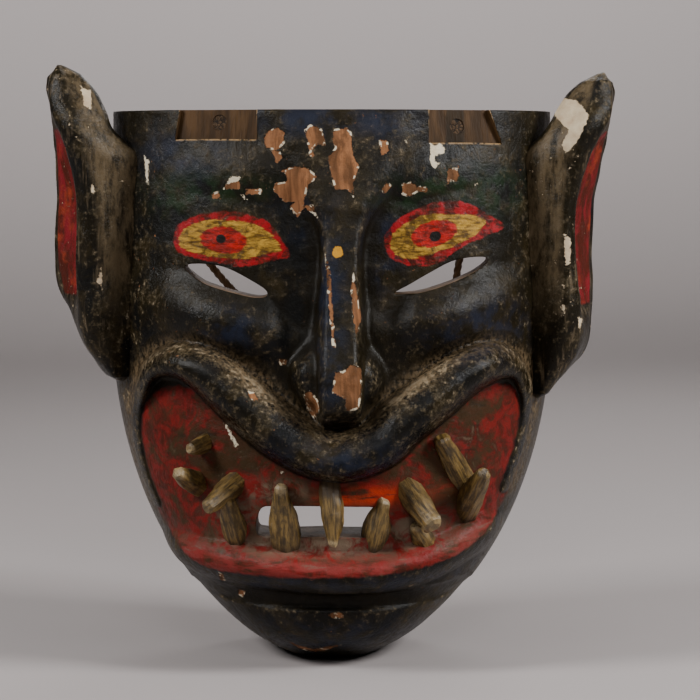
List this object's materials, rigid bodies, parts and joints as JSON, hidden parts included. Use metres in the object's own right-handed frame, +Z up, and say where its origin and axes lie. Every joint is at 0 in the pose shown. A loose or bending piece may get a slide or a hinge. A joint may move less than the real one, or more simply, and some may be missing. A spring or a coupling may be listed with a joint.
{
  "type": "carved wooden dance mask",
  "caption": "Carved and painted wooden devil dance mask with scoop ears, wide open mouth of pegged teeth, eye slits, flat horn seats and a string strap.",
  "frame": {"origin": "middle of the opening in the back, on the rim plane, where the wearer's face goes", "axes": "+Z up to the forehead, +X to the viewer's right, the face looks along -Y and the wearer's side is +Y"},
  "size_m": [0.236, 0.0963, 0.241],
  "materials": {
    "painted_face": "worn gloss blue-black paint over gesso, red mouth, yellow and red eyes, bare wood back",
    "painted_ear": "worn gloss black paint with a red scoop",
    "tooth_wood": "whittled wood, aged olive brown varnish",
    "bare_wood": "bare, dark with age",
    "string": "three-strand twisted natural fibre"
  },
  "bodies": {
    "root": {"face_shell": "painted_face", "ear_left": "painted_ear", "ear_right": "painted_ear", "tooth_side_left": "tooth_wood", "tooth_cheek_left": "tooth_wood", "tooth_fang_left": "tooth_wood", "tooth_lower_left": "tooth_wood", "tooth_lower_middle": "tooth_wood", "tooth_upper_middle": "tooth_wood", "tooth_lower_right": "tooth_wood", "tooth_fang_right": "tooth_wood", "tooth_lower_small": "tooth_wood", "tooth_side_right": "tooth_wood", "tooth_cheek_right": "tooth_wood", "horn_peg_left": "bare_wood", "ear_dowel_left_upper": "bare_wood", "ear_dowel_left_lower": "bare_wood", "strap_knot_left": "string", "horn_peg_right": "bare_wood", "ear_dowel_right_upper": "bare_wood", "ear_dowel_right_lower": "bare_wood", "strap_knot_right": "string", "strap_cord": "string"}
  },
  "joints": []
}
